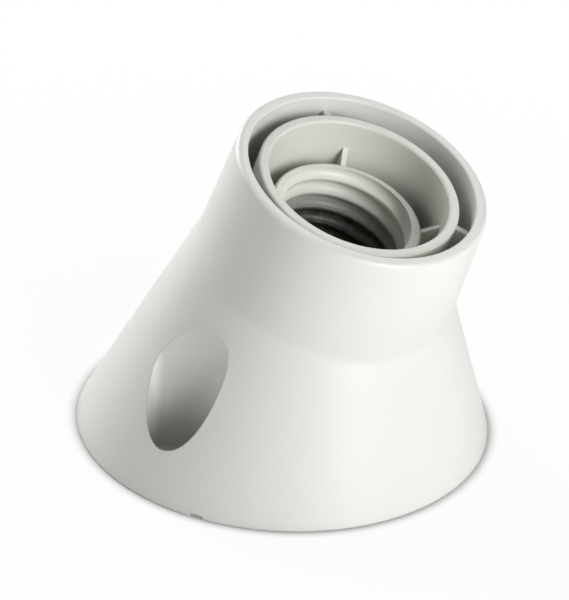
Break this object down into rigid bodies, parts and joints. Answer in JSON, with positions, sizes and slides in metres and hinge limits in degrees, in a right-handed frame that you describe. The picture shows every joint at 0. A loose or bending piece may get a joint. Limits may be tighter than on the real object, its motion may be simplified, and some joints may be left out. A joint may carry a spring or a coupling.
{
  "type": "lamp holder",
  "caption": "Angled white lamp holder for a wall or ceiling: conical base with sunk screw wells and a leaning collar around a screw socket with a guard sleeve.",
  "frame": {"origin": "centre of the round base, on the plane of the wall or ceiling", "axes": "+Z away from the wall, +X towards the side the lamp leans to, so the screw wells lie on the Y axis"},
  "size_m": [0.08, 0.08, 0.0659],
  "materials": {
    "housing_plastic": "satin",
    "insert_plastic": "satin",
    "block_plastic": "matt",
    "contact_strip": "bright strip",
    "rivet_metal": "bright",
    "terminal_brass": "bright",
    "clamp_steel": "zinc plated",
    "screw_steel": "zinc plated"
  },
  "bodies": {
    "lamp_holder": {"housing": "housing_plastic", "lamp_insert": "insert_plastic", "contact_block": "block_plastic", "side_contact": "contact_strip", "centre_contact": "contact_strip", "neutral_rivet": "rivet_metal", "line_rivet": "rivet_metal", "neutral_terminal": "terminal_brass", "line_terminal": "terminal_brass", "insert_screw_1": "screw_steel", "insert_screw_2": "screw_steel", "block_screw_1": "screw_steel", "block_screw_2": "screw_steel"},
    "line_clamp": {"line_clamp": "clamp_steel"},
    "line_screw": {"line_screw": "screw_steel"},
    "neutral_clamp": {"neutral_clamp": "clamp_steel"},
    "neutral_screw": {"neutral_screw": "screw_steel"}
  },
  "joints": [
    {"name": "line_clamp_lift", "type": "slide", "parent": "lamp_holder", "child": "line_clamp", "axis": [-0.309, 0, -0.9511], "range_m": [0, 0.0021]},
    {"name": "line_screw_turn", "type": "hinge", "parent": "line_clamp", "child": "line_screw", "pos_m": [-0.00984, 0.00204, 0.02208], "axis": [-0.309, 0, -0.9511], "range_deg": [0, 1260]},
    {"name": "neutral_clamp_lift", "type": "slide", "parent": "lamp_holder", "child": "neutral_clamp", "axis": [-0.309, 0, -0.9511], "range_m": [0, 0.0021]},
    {"name": "neutral_screw_turn", "type": "hinge", "parent": "neutral_clamp", "child": "neutral_screw", "pos_m": [0.01411, -0.00204, 0.01429], "axis": [-0.309, 0, -0.9511], "range_deg": [0, 1260]}
  ],
  "couplings": [
    {"joint": "line_screw_turn", "follows": "line_clamp_lift", "rad_per_m": 10472},
    {"joint": "neutral_screw_turn", "follows": "neutral_clamp_lift", "rad_per_m": 10472}
  ]
}
